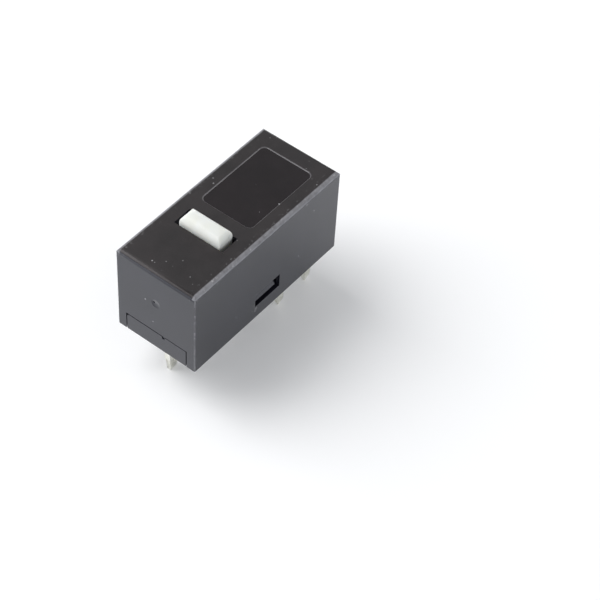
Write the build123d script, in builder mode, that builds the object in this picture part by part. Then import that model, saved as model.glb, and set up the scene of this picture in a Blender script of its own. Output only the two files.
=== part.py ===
"""Optical snap-action switch for a printed circuit board, in millimetres.

Frame: the origin is the centre of the underside, where the switch sits on the board. +X runs along
the length away from the plunger, +Y across the width, and +Z up through the plunger.

Working: the plunger presses a one-piece snap blade that is hooked on the anchor terminal. The blade's
free end carries an opaque shutter, which drops into the beam between an infrared emitter and a receiver.
"""

import os
from math import sin

from build123d import *

os.makedirs("parts", exist_ok=True)


# ---- Driving dimensions ------------------------------------------------------------------------

LENGTH, WIDTH, HEIGHT = 12.8, 5.7, 6.2
WALL, ROOF = 0.6, 0.7
SEAM = 0.02  # gap between parts that are pushed together
BASE_TOP = 1.3  # where the cover's end walls come down to
LEG = 3.0  # how far every terminal and lead reaches below the board plane

TOP_EDGE_R, SHARP_EDGE_R = 0.3, 0.07
PANEL_X, PANEL_LENGTH, PANEL_WIDTH, PANEL_DEPTH, PANEL_R = 2.35, 5.7, 3.7, 0.05, 0.35

WINDOW_HALF, WINDOW_LOW, WINDOW_HIGH = 1.1, 0.95, 1.9
LUG_HALF, LUG_REACH, RAIL_TOP = 1.0, 0.4, 2.0

PLUNGER_X, PLUNGER_LENGTH, PLUNGER_WIDTH, PLUNGER_RISE = -2.15, 1.2, 2.9, 0.65
TRAVEL = 0.4

TERMINAL_PITCH, LEAD_PITCH, LEAD_PAIR_X = 5.08, 2.54, 4.0
METAL = 0.4  # sheet thickness of terminals and leads
TERMINAL_WIDTH, LEAD_WIDTH = 0.8, 0.5
LEAD_Y = 1.6

BLADE_Z, BLADE_SHEET = 4.35, 0.1
PIVOT_X = -5.1
BEAM_Z = 2.9

INNER_LENGTH, INNER_WIDTH, CEILING = LENGTH - 2 * WALL, WIDTH - 2 * WALL, HEIGHT - ROOF
BASE_WIDTH = INNER_WIDTH - 2 * SEAM
FLOOR = BASE_TOP - SEAM
BLADE_TOP = BLADE_Z + BLADE_SHEET / 2
LEAD_XS = (LEAD_PAIR_X - LEAD_PITCH / 2, LEAD_PAIR_X + LEAD_PITCH / 2)


def block(*limits, mode=Mode.ADD):
    """A box from low x, high x, low y, high y, low z, high z in the part being built."""
    lows, highs = limits[0::2], limits[1::2]
    middle = tuple((low + high) / 2 for low, high in zip(lows, highs))
    with Locations(middle):
        Box(*(high - low for low, high in zip(lows, highs)), mode=mode)


def taper(x, y, width, thickness, tip_width, tip_thickness, start):
    """The pointed end of a terminal or lead, from the height start down to the tip."""
    with BuildSketch(Plane.XY.offset(start)) as root:
        with Locations((x, y)):
            Rectangle(width, thickness)
    with BuildSketch(Plane.XY.offset(-LEG)) as tip:
        with Locations((x, y)):
            Rectangle(tip_width, tip_thickness)
    loft(sections=[root.sketch.face(), tip.sketch.face()])


def hand_over(item, node):
    """Names a finished piece and writes its STEP file."""
    item.part.label = node
    export_step(item.part, f"parts/{node}.step")


# ---- Anchor terminal: holds the blade's end and its tongue's fulcrum ---------------------------

TERMINAL_TIP = (0.5, 0.18, -1.95)  # width, thickness and the height where the taper starts
POST_HALF, NECK_HALF = 0.4, 0.2
SHOULDER, POST_TOP = 4.18, 4.8
FULCRUM_LEFT, FULCRUM_RIGHT, FULCRUM_TOP = -4.15, -3.4, 4.0
NOTCH_DEPTH, NOTCH_LOW, NOTCH_HIGH = 0.35, 3.2, 3.82
BAR_TOP = 2.0

anchor_x = -TERMINAL_PITCH

with BuildPart() as anchor_terminal:
    with BuildSketch(Plane.XZ) as anchor_outline:
        with BuildLine():
            Polyline(
                (anchor_x - TERMINAL_WIDTH / 2, TERMINAL_TIP[2]),
                (anchor_x + TERMINAL_WIDTH / 2, TERMINAL_TIP[2]),
                (anchor_x + TERMINAL_WIDTH / 2, BASE_TOP),
                (FULCRUM_RIGHT, BASE_TOP),
                (FULCRUM_RIGHT, NOTCH_LOW),
                (FULCRUM_RIGHT - NOTCH_DEPTH, NOTCH_LOW),
                (FULCRUM_RIGHT - NOTCH_DEPTH, NOTCH_HIGH),
                (FULCRUM_RIGHT, NOTCH_HIGH),
                (FULCRUM_RIGHT, FULCRUM_TOP),
                (FULCRUM_LEFT, FULCRUM_TOP),
                (FULCRUM_LEFT, BAR_TOP),
                (PIVOT_X + POST_HALF, BAR_TOP),
                (PIVOT_X + POST_HALF, SHOULDER),
                (PIVOT_X + NECK_HALF, SHOULDER),
                (PIVOT_X + NECK_HALF, POST_TOP),
                (PIVOT_X - NECK_HALF, POST_TOP),
                (PIVOT_X - NECK_HALF, SHOULDER),
                (PIVOT_X - POST_HALF, SHOULDER),
                (PIVOT_X - POST_HALF, BASE_TOP),
                (anchor_x - TERMINAL_WIDTH / 2, BASE_TOP),
                close=True,
            )
        make_face()
    extrude(amount=METAL / 2, both=True)
    taper(anchor_x, 0, TERMINAL_WIDTH, METAL, *TERMINAL_TIP)

# ---- Stop terminal: the blade's lower stop, under its cross-bar --------------------------------

STOP_LEFT, STOP_RIGHT, STOP_BAR_TOP = 1.5, 2.0, 2.3
STOP_GAP = 0.08  # left between the blade and its stop at full travel

pressed_angle = TRAVEL / (PLUNGER_X - PIVOT_X)
blade_drop = (STOP_RIGHT - PIVOT_X) * sin(pressed_angle)
stop_top = BLADE_Z - BLADE_SHEET / 2 - blade_drop - STOP_GAP

with BuildPart() as stop_terminal:
    with BuildSketch(Plane.XZ) as stop_outline:
        with BuildLine():
            Polyline(
                (-TERMINAL_WIDTH / 2, TERMINAL_TIP[2]),
                (TERMINAL_WIDTH / 2, TERMINAL_TIP[2]),
                (TERMINAL_WIDTH / 2, BASE_TOP),
                (STOP_RIGHT, BASE_TOP),
                (STOP_RIGHT, stop_top),
                (STOP_LEFT, stop_top),
                (STOP_LEFT, STOP_BAR_TOP),
                (-TERMINAL_WIDTH / 2, STOP_BAR_TOP),
                close=True,
            )
        make_face()
    extrude(amount=METAL / 2, both=True)
    taper(0, 0, TERMINAL_WIDTH, METAL, *TERMINAL_TIP)

# ---- Snap blade: one leaf with two legs, an arched tongue and a nose ---------------------------

BLADE_LEFT, BLADE_SHOULDER, BLADE_NOSE = -5.6, 2.0, 3.2
BLADE_HALF, NOSE_HALF = 1.2, 0.45
HOOK_HALF, HOOK_SLOT_HALF = 0.3, 0.28
CUT_LEFT, CUT_RIGHT, CUT_HALF = -4.3, 1.2, 0.65
TONGUE_HALF, TONGUE_LOW, TONGUE_TIP = 0.42, (-0.9, 3.45), (-3.5, 3.62)

with BuildPart() as snap_blade:
    with BuildSketch(Plane.XY.offset(BLADE_Z - BLADE_SHEET / 2)):
        with BuildLine():
            Polyline(
                (BLADE_LEFT, -BLADE_HALF),
                (BLADE_SHOULDER, -BLADE_HALF),
                (BLADE_SHOULDER, -NOSE_HALF),
                (BLADE_NOSE, -NOSE_HALF),
                (BLADE_NOSE, NOSE_HALF),
                (BLADE_SHOULDER, NOSE_HALF),
                (BLADE_SHOULDER, BLADE_HALF),
                (BLADE_LEFT, BLADE_HALF),
                close=True,
            )
        make_face()
        with Locations((PIVOT_X, 0)):
            Rectangle(2 * HOOK_SLOT_HALF, 2 * HOOK_HALF, mode=Mode.SUBTRACT)
        with Locations(((CUT_LEFT + CUT_RIGHT) / 2, 0)):
            Rectangle(CUT_RIGHT - CUT_LEFT, 2 * CUT_HALF, mode=Mode.SUBTRACT)
    extrude(amount=BLADE_SHEET)
    with BuildSketch(Plane.XZ):
        with BuildLine():
            ThreePointArc((CUT_RIGHT + BLADE_SHEET, BLADE_Z), TONGUE_LOW, TONGUE_TIP)
        trace(line_width=BLADE_SHEET)
    extrude(amount=TONGUE_HALF, both=True)

# ---- Shutter: opaque clip moulded round the blade's nose ---------------------------------------

CLIP_LEFT, CLIP_RIGHT, CLIP_HALF, CLIP_LOW, CLIP_HIGH = 2.35, 3.4, 0.6, 4.05, 4.7
FLAG_RIGHT, FLAG_HALF, FLAG_LOW, FLAG_HIGH = 5.3, 0.35, 3.5, 4.85

with BuildPart() as shutter:
    block(CLIP_LEFT, CLIP_RIGHT, -CLIP_HALF, CLIP_HALF, CLIP_LOW, CLIP_HIGH)
    block(CLIP_RIGHT, FLAG_RIGHT, -FLAG_HALF, FLAG_HALF, FLAG_LOW, FLAG_HIGH)
    add(snap_blade.part, mode=Mode.SUBTRACT)

# ---- Plunger -----------------------------------------------------------------------------------

PLUNGER_TOP = HEIGHT + PLUNGER_RISE
FLANGE_LOW, FLANGE_LENGTH, FLANGE_GAP = 5.05, 2.0, 0.03
FOOT_R, FOOT_WIDTH, FOOT_GAP = 0.3, 2.6, 0.02
PLUNGER_END_R, PLUNGER_EDGE_R = 0.5, 0.05

foot_z = BLADE_TOP + FOOT_GAP + FOOT_R

with BuildPart() as plunger:
    with BuildSketch(Plane.YZ.offset(PLUNGER_X - PLUNGER_LENGTH / 2)) as cap_view:
        with Locations((0, (FLANGE_LOW + PLUNGER_TOP) / 2)):
            Rectangle(PLUNGER_WIDTH, PLUNGER_TOP - FLANGE_LOW)
        fillet(cap_view.vertices().group_by(Axis.Y)[-1], PLUNGER_END_R)
    extrude(amount=PLUNGER_LENGTH)
    for flank in (plunger.faces().sort_by(Axis.X)[0], plunger.faces().sort_by(Axis.X)[-1]):
        fillet(flank.edges().sort_by(Axis.Z)[1:], PLUNGER_EDGE_R)
    block(
        PLUNGER_X - FLANGE_LENGTH / 2, PLUNGER_X + FLANGE_LENGTH / 2,
        -PLUNGER_WIDTH / 2, PLUNGER_WIDTH / 2, FLANGE_LOW, CEILING - FLANGE_GAP,
    )
    block(
        PLUNGER_X - FOOT_R, PLUNGER_X + FOOT_R,
        -FOOT_WIDTH / 2, FOOT_WIDTH / 2, foot_z, FLANGE_LOW,
    )
    with BuildSketch(Plane.XZ):
        with Locations((PLUNGER_X, foot_z)):
            Circle(FOOT_R)
    extrude(amount=FOOT_WIDTH / 2, both=True)

# ---- Emitter and receiver: leads, die, bond wire and moulded body ------------------------------

BODY_LEFT, BODY_RIGHT, BODY_TOP = 2.25, 5.75, 4.8
BODY_INNER, BODY_OUTER = 0.9, 2.2
LENS_R, LENS_RISE = 0.55, 0.2
LEAD_TIP = (0.15, 0.12, -2.5)  # width, thickness and the height where the point starts
PAD_LOW, PAD_HIGH, PAD_RIGHT = 2.5, 3.3, 4.3
BOND_LEFT, BOND_LOW, BOND_HIGH = 4.75, 2.7, 3.1
DIE, DIE_HEIGHT = 0.35, 0.15
WIRE_R, WIRE_LOOP = 0.03, 0.18

lens_sphere_r = (LENS_R**2 + LENS_RISE**2) / (2 * LENS_RISE)
lead_face = LEAD_Y - METAL / 2
die_top = lead_face - DIE_HEIGHT


def make_device(name, side):
    """Builds one optical device on the side of the beam given by side, +1 or -1."""
    with BuildPart() as pad_lead:
        x = LEAD_XS[0]
        block(
            x - LEAD_WIDTH / 2, x + LEAD_WIDTH / 2,
            side * LEAD_Y - METAL / 2, side * LEAD_Y + METAL / 2, LEAD_TIP[2], PAD_HIGH,
        )
        block(
            x - LEAD_WIDTH / 2, PAD_RIGHT,
            side * LEAD_Y - METAL / 2, side * LEAD_Y + METAL / 2, PAD_LOW, PAD_HIGH,
        )
        taper(x, side * LEAD_Y, LEAD_WIDTH, METAL, *LEAD_TIP)
    with BuildPart() as wire_lead:
        x = LEAD_XS[1]
        block(
            x - LEAD_WIDTH / 2, x + LEAD_WIDTH / 2,
            side * LEAD_Y - METAL / 2, side * LEAD_Y + METAL / 2, LEAD_TIP[2], BOND_HIGH,
        )
        block(
            BOND_LEFT, x + LEAD_WIDTH / 2,
            side * LEAD_Y - METAL / 2, side * LEAD_Y + METAL / 2, BOND_LOW, BOND_HIGH,
        )
        taper(x, side * LEAD_Y, LEAD_WIDTH, METAL, *LEAD_TIP)
    with BuildPart() as die:
        with Locations((LEAD_PAIR_X, side * (lead_face + die_top) / 2, BEAM_Z)):
            Box(DIE, DIE_HEIGHT, DIE)
    with BuildPart() as bond_wire:
        with BuildLine() as loop:
            ThreePointArc(
                (LEAD_PAIR_X, side * die_top, BEAM_Z),
                ((LEAD_PAIR_X + BOND_LEFT) / 2, side * (die_top - WIRE_LOOP), BEAM_Z),
                (BOND_LEFT + WIRE_R, side * lead_face, BEAM_Z),
            )
        with BuildSketch(Plane(origin=loop.line @ 0, z_dir=loop.line % 0)):
            Circle(WIRE_R)
        sweep()
    with BuildPart() as body:
        low, high = sorted((side * BODY_INNER, side * BODY_OUTER))
        block(BODY_LEFT, BODY_RIGHT, low, high, BASE_TOP, BODY_TOP)
        fillet(body.edges().filter_by(Axis.Z), SHARP_EDGE_R)
        lens_y = side * (BODY_INNER - LENS_RISE + lens_sphere_r)
        with Locations((LEAD_PAIR_X, lens_y, BEAM_Z)):
            Sphere(lens_sphere_r)
        block(
            BODY_LEFT, BODY_RIGHT, *sorted((side * BODY_OUTER, side * WIDTH)), 0, HEIGHT,
            mode=Mode.SUBTRACT,
        )
        for held in (pad_lead, wire_lead, die):
            add(held.part, mode=Mode.SUBTRACT)
    hand_over(pad_lead, f"{name}_pad_lead")
    hand_over(wire_lead, f"{name}_wire_lead")
    hand_over(die, f"{name}_die")
    hand_over(bond_wire, f"{name}_bond_wire")
    hand_over(body, f"{name}_body")


# ---- Base --------------------------------------------------------------------------------------

GROOVE_XS, GROOVE_WIDTH, GROOVE_DEPTH = (-3.4, LEAD_PAIR_X), 1.12, 0.18
POCKET_SIDE, POCKET_END, POCKET_DEPTH = 0.12, 0.28, 0.4
LEAD_SLOT, LEAD_SLOT_IN = 0.58, 1.36
RAIL_HALF, RAIL_IN = 1.6, 1.75
DIVIDER_HALF, DIVIDER_TOP = 0.8, 1.85
SEAT_LEFT, SEAT_RIGHT, SEAT_IN, SEAT_TOP = 1.8, 2.2, 1.0, 2.6

groove_r = (GROOVE_WIDTH**2 / 4 + GROOVE_DEPTH**2) / (2 * GROOVE_DEPTH)

with BuildPart() as base:
    block(-LENGTH / 2, LENGTH / 2, -BASE_WIDTH / 2, BASE_WIDTH / 2, 0, FLOOR)
    for side in (1, -1):
        block(
            -RAIL_HALF, RAIL_HALF, *sorted((side * RAIL_IN, side * BASE_WIDTH / 2)), FLOOR, RAIL_TOP
        )
        block(
            SEAT_LEFT, SEAT_RIGHT, *sorted((side * SEAT_IN, side * BASE_WIDTH / 2)), FLOOR, SEAT_TOP
        )
        with BuildSketch(Plane.YZ):
            with BuildLine():
                Polyline(
                    (side * BASE_WIDTH / 2, WINDOW_LOW + SEAM),
                    (side * (BASE_WIDTH / 2 + LUG_REACH), WINDOW_LOW + SEAM),
                    (side * (BASE_WIDTH / 2 + LUG_REACH), WINDOW_LOW + 3 * SEAM),
                    (side * BASE_WIDTH / 2, WINDOW_HIGH - SEAM),
                    close=True,
                )
            make_face()
        extrude(amount=LUG_HALF, both=True)
    block(BODY_LEFT, INNER_LENGTH / 2 - SEAM, -DIVIDER_HALF, DIVIDER_HALF, FLOOR, DIVIDER_TOP)
    with Locations(*[(x, 0, GROOVE_DEPTH - groove_r) for x in GROOVE_XS]):
        Cylinder(groove_r, WIDTH, rotation=(90, 0, 0), mode=Mode.SUBTRACT)
    for x, end_gap in ((anchor_x, POCKET_END), (0, POCKET_SIDE)):
        block(
            x - TERMINAL_WIDTH / 2 - end_gap, x + TERMINAL_WIDTH / 2 + POCKET_SIDE,
            -METAL / 2 - POCKET_SIDE, METAL / 2 + POCKET_SIDE, 0, POCKET_DEPTH, mode=Mode.SUBTRACT,
        )
        block(
            x - TERMINAL_WIDTH / 2, x + TERMINAL_WIDTH / 2,
            -METAL / 2, METAL / 2, 0, FLOOR, mode=Mode.SUBTRACT,
        )
    for x in LEAD_XS:
        for side in (1, -1):
            block(
                x - LEAD_SLOT / 2, x + LEAD_SLOT / 2,
                *sorted((side * LEAD_SLOT_IN, side * BASE_WIDTH / 2)), 0, FLOOR, mode=Mode.SUBTRACT,
            )

# ---- Cover -------------------------------------------------------------------------------------

SLOT_GAP, SLOT_WIDTH = 0.06, 3.5
STOP_RIB_LEFT, STOP_RIB_RIGHT, STOP_RIB_GAP = 1.5, 1.9, 0.03
HOLD_RIB_HALF, HOLD_RIB_Y = 0.25, (1.2, 1.9)
GATE_Z, GATE_R, GATE_DEPTH, GATE_PIP_R, GATE_PIP_DEPTH = 3.7, 0.3, 0.02, 0.06, 0.08

with BuildPart() as cover:
    with BuildSketch(Plane.YZ.offset(-LENGTH / 2)) as end_view:
        with Locations((0, HEIGHT / 2)):
            Rectangle(WIDTH, HEIGHT)
        fillet(end_view.vertices().group_by(Axis.Y)[-1], TOP_EDGE_R)
    extrude(amount=LENGTH)
    for end in (cover.faces().sort_by(Axis.X)[0], cover.faces().sort_by(Axis.X)[-1]):
        fillet(end.edges().sort_by(Axis.Z)[1:], SHARP_EDGE_R)
    block(
        -INNER_LENGTH / 2, INNER_LENGTH / 2, -INNER_WIDTH / 2, INNER_WIDTH / 2, 0, CEILING,
        mode=Mode.SUBTRACT,
    )
    block(-LENGTH, LENGTH, -INNER_WIDTH / 2, INNER_WIDTH / 2, 0, BASE_TOP, mode=Mode.SUBTRACT)
    block(-WINDOW_HALF, WINDOW_HALF, -WIDTH, WIDTH, WINDOW_LOW, WINDOW_HIGH, mode=Mode.SUBTRACT)
    block(
        PLUNGER_X - PLUNGER_LENGTH / 2 - SLOT_GAP, PLUNGER_X + PLUNGER_LENGTH / 2 + SLOT_GAP,
        -SLOT_WIDTH / 2, SLOT_WIDTH / 2, 0, HEIGHT, mode=Mode.SUBTRACT,
    )
    with BuildSketch(Plane.XY.offset(HEIGHT)):
        with Locations((PANEL_X, 0)):
            RectangleRounded(PANEL_LENGTH, PANEL_WIDTH, PANEL_R)
    extrude(amount=-PANEL_DEPTH, mode=Mode.SUBTRACT)
    with BuildSketch(Plane.YZ.offset(-LENGTH / 2)):
        with Locations((0, GATE_Z)):
            Circle(GATE_R)
    extrude(amount=GATE_DEPTH, mode=Mode.SUBTRACT)
    with BuildSketch(Plane.YZ.offset(-LENGTH / 2)):
        with Locations((0, GATE_Z)):
            Circle(GATE_PIP_R)
    extrude(amount=GATE_PIP_DEPTH, mode=Mode.SUBTRACT)
    block(
        STOP_RIB_LEFT, STOP_RIB_RIGHT, -BLADE_HALF, BLADE_HALF, BLADE_TOP + STOP_RIB_GAP, CEILING
    )
    for x in LEAD_XS:
        for side in (1, -1):
            block(
                x - HOLD_RIB_HALF, x + HOLD_RIB_HALF,
                *sorted(side * y for y in HOLD_RIB_Y), BODY_TOP + SEAM, CEILING,
            )

# ---- Written pieces ----------------------------------------------------------------------------

hand_over(cover, "cover")
hand_over(base, "base")
hand_over(plunger, "plunger")
hand_over(anchor_terminal, "anchor_terminal")
hand_over(stop_terminal, "stop_terminal")
hand_over(snap_blade, "snap_blade")
hand_over(shutter, "shutter")
make_device("emitter", 1)
make_device("receiver", -1)
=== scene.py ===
# %% [markdown]
# # A small optical micro switch, skinned in Blender
# The real switch is a black moulded cover snapped over a black base, with a white button on top and six
# metal legs below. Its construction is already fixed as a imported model, which loads first. This lesson
# models the visible pieces again with rounded edges, cut-outs and fine marks, and paints every surface.

from contextlib import contextmanager
from math import cos, radians, sin

import bmesh
import bpy
from mathutils import Matrix, Vector


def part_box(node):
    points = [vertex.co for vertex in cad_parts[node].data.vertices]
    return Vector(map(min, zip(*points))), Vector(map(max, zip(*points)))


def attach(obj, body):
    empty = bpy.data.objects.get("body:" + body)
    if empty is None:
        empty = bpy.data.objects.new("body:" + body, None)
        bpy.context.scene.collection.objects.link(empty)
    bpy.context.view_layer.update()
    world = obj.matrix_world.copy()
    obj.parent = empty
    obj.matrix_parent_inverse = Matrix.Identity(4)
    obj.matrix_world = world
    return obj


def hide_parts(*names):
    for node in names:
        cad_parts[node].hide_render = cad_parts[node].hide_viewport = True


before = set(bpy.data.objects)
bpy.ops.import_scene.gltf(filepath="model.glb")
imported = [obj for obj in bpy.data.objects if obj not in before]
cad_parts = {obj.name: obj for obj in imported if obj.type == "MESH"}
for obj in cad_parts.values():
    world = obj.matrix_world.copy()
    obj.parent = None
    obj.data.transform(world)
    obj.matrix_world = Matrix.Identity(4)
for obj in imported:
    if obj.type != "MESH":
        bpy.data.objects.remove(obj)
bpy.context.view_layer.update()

# %% [markdown]
# ## Working in millimetres
# The switch is under 13 mm long, and Blender's modelling tools merge points that are very close together.
# So each piece is modelled at one unit to the millimetre, and shrunk to metres when it is finished. The
# imported model's boxes give the places, and only details such as wall thicknesses are stated here.

# %% Boxes from the imported model, in millimetres
MM = 0.001


def box_mm(node):
    """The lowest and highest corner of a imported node, in millimetres."""
    low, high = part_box(node)
    return Vector(low) / MM, Vector(high) / MM


cover_low, cover_high = box_mm("cover")
base_high = box_mm("base")[1]
button_low, button_high = box_mm("plunger")
half_length, half_width, top = cover_high.x, cover_high.y, cover_high.z
leg_tip = box_mm("anchor_terminal")[0].z
button_x = (button_low.x + button_high.x) / 2
print("case", 2 * half_length, 2 * half_width, top, "legs down to", round(leg_tip, 2))

# %% [markdown]
# ## A few bench tools
# Every piece starts as a block or a rod set at its place. These helpers only shorten what would be done by
# hand: add the primitive, enter edit mode with nothing selected, and pick edges or faces by where they lie
# or which way they face. Picking by place is chosen because face numbers change after every cut.

# %% Blocks, rods and edit mode
SLACK = 0.001  # lengths within a thousandth of a millimetre count as equal
STRAIGHT = 0.99  # the least cosine between a normal and an axis that counts as following it


def only(piece):
    """Makes this piece the one that is selected and active."""
    bpy.ops.object.select_all(action="DESELECT")
    piece.select_set(True)
    bpy.context.view_layer.objects.active = piece


def add_block(name, low, high):
    """Adds a cube stretched between two corners."""
    low, high = Vector(low), Vector(high)
    bpy.ops.object.select_all(action="DESELECT")
    bpy.ops.mesh.primitive_cube_add(size=1, location=(low + high) / 2)
    piece = bpy.context.object
    piece.name = name
    piece.scale = high - low
    bpy.ops.object.transform_apply(location=True, rotation=True, scale=True)
    return piece


def add_rod(name, start, end, radius, sides):
    """Adds a cylinder between two points."""
    start, end = Vector(start), Vector(end)
    bpy.ops.object.select_all(action="DESELECT")
    bpy.ops.mesh.primitive_cylinder_add(
        vertices=sides, radius=radius, depth=(end - start).length, location=(start + end) / 2
    )
    piece = bpy.context.object
    piece.name = name
    piece.rotation_euler = (end - start).to_track_quat("Z", "Y").to_euler()
    bpy.ops.object.transform_apply(location=True, rotation=True, scale=True)
    return piece


@contextmanager
def editing(piece):
    """Edit mode for one piece, with nothing selected at the start."""
    only(piece)
    bpy.ops.object.mode_set(mode="EDIT")
    bpy.ops.mesh.select_all(action="DESELECT")
    yield
    bpy.ops.object.mode_set(mode="OBJECT")


def pick(piece, what, test):
    """In edit mode, selects the edges or faces that pass the test, and returns how many."""
    bpy.ops.mesh.select_mode(type="EDGE" if what == "edges" else "FACE")
    bpy.ops.mesh.select_all(action="DESELECT")
    mesh = bmesh.from_edit_mesh(piece.data)
    chosen = [item for item in getattr(mesh, what) if test(item)]
    for item in chosen:
        item.select_set(True)
    mesh.select_flush_mode()
    bmesh.update_edit_mesh(piece.data)
    return len(chosen)


def near(value, target):
    """True if two lengths are equal within the slack."""
    return abs(value - target) < SLACK


def corners(item):
    """The corner points of an edge or a face."""
    return [vert.co for vert in item.verts]


def faces_up(face):
    """True for a level face that looks up."""
    return face.normal.z > STRAIGHT


def faces_down(face):
    """True for a level face that looks down."""
    return face.normal.z < -STRAIGHT


print("blocks, rods and edit mode ready")

# %% [markdown]
# ## Cutting, joining and rounding
# Openings are cut and lugs are joined with the Boolean modifier, and edges are rounded with the Bevel
# modifier. Each modifier is applied at once, so the next step works on plain faces. A moulded edge is never
# quite sharp, and its small radius is what catches the light.

# %% Booleans and rounded edges
CLEAR = 1.0  # how far a cutter runs past what it cuts
SINK = 0.1  # how far a joined block reaches into what it joins
MOULDED_ANGLE, STAMPED_ANGLE = 50, 30  # the least corner that is rounded, in degrees


def carve(piece, tool, operation="DIFFERENCE"):
    """Cuts the tool out of the piece, or joins it on, and removes the tool."""
    only(piece)
    step = piece.modifiers.new("carve", "BOOLEAN")
    step.operation, step.solver, step.object = operation, "EXACT", tool
    bpy.ops.object.modifier_apply(modifier=step.name)
    bpy.data.objects.remove(tool, do_unlink=True)


def open_edges(piece):
    """How many edges don't join exactly two faces: 0 on a closed piece."""
    mesh = bmesh.new()
    mesh.from_mesh(piece.data)
    count = sum(not edge.is_manifold for edge in mesh.edges)
    mesh.free()
    return count


def join_block(piece, low, high):
    """Joins a block between two corners to the piece."""
    carve(piece, add_block("joined", low, high), "UNION")


def cut_block(piece, low, high):
    """Cuts a block between two corners out of the piece."""
    carve(piece, add_block("cutter", low, high))


def round_edges(piece, width, segments=2, angle=MOULDED_ANGLE):
    """Rounds every edge sharper than the angle with an applied Bevel modifier."""
    only(piece)
    step = piece.modifiers.new("round", "BEVEL")
    step.width, step.segments, step.limit_method = width, segments, "ANGLE"
    step.angle_limit = radians(angle)
    step.use_clamp_overlap = True
    bpy.ops.object.modifier_apply(modifier=step.name)


print("cutters run", CLEAR, "mm past, joins sink", SINK, "mm in")

# %% [markdown]
# ## Handing a piece over
# A finished piece is shrunk to metres, smoothed, given its material, and tied to the body that it moves
# with. Weighted normals keep the large flat faces flat beside their rounded edges. A second finish can be
# given to some of the faces afterwards.

# %% Finishing a piece
SMOOTH_ANGLE = 40  # faces that meet below this many degrees are shaded smooth


def settle(piece, body, node, finish):
    """Shrinks a piece to metres, smooths it, and hands it to its body with its finish."""
    only(piece)
    piece.scale = (MM, MM, MM)
    bpy.ops.object.transform_apply(location=True, rotation=True, scale=True)
    bpy.ops.object.shade_smooth_by_angle(angle=radians(SMOOTH_ANGLE))
    step = piece.modifiers.new("weighted", "WEIGHTED_NORMAL")
    step.keep_sharp = True
    bpy.ops.object.modifier_apply(modifier=step.name)
    piece.data.materials.clear()
    piece.data.materials.append(finish)
    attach(piece, body)
    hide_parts(node)
    print(piece.name, len(piece.data.polygons), "faces, open edges", open_edges(piece))


def paint_faces(piece, finish, test):
    """Gives another finish to the faces that pass the test, by their centre in mm and their normal."""
    piece.data.materials.append(finish)
    index = len(piece.data.materials) - 1
    painted = 0
    for face in piece.data.polygons:
        if test(face.center / MM, face.normal):
            face.material_index = index
            painted += 1
    print(finish.name, "on", painted, "faces of", piece.name)


print("faces meeting below", SMOOTH_ANGLE, "degrees are shaded smooth")


# %% [markdown]
# ## Wiring a node tree
# A material is a tree of nodes whose outputs are linked to other nodes' sockets. The finishes, the table
# and the room all need the same few steps: add a node, fill its sockets with a number or a link, do a sum,
# and map one range of values to another. They are written once, for any tree.

# %% Node tree


class Wiring:
    """A node tree, with short calls for the steps that every tree needs."""

    def __init__(self, tree):
        self.nodes, self.links = tree.nodes, tree.links

    def plug(self, socket, value):
        """Sets a socket to a number or a colour, or links another node's output to it."""
        if isinstance(value, bpy.types.NodeSocket):
            self.links.new(value, socket)
        else:
            socket.default_value = value

    def add(self, kind, sockets=(), **settings):
        """Adds a node with its settings, and fills the sockets given by name or number."""
        node = self.nodes.new(kind)
        for key, value in settings.items():
            setattr(node, key, value)
        for key, value in dict(sockets).items():
            self.plug(node.inputs[key], value)
        return node

    def math(self, operation, first, second=0.0):
        """The sum, product or other result of two values."""
        return self.add("ShaderNodeMath", {0: first, 1: second}, operation=operation).outputs["Value"]

    def fit(self, value, low, high, to_low, to_high, **settings):
        """Maps a range of values to another one, clamped at both ends."""
        sockets = {"Value": value, "From Min": low, "From Max": high, "To Min": to_low, "To Max": to_high}
        return self.add("ShaderNodeMapRange", sockets, **settings).outputs["Result"]


print("node tree helper ready")

# %% [markdown]
# ## Patterns on a piece
# All patterns read the object's own coordinates, in millimetres, so they stay put from every side and when
# the button moves. Patches come from noise, specks from the cells of a Voronoi pattern, and a nick from the
# distance to one point. Each gives a mask, and masks lay one colour over another.

# %% Finish with its patterns
SPECK_EDGE = 0.3  # how much of a speck's radius is its soft edge
UNDER, OVER, MIXED = 6, 7, 2  # the Mix node's colour sockets, whose names aren't unique


def opaque(colour):
    """A colour with full alpha. A link is passed on as it is."""
    return (*colour, 1) if isinstance(colour, tuple) else colour


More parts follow.
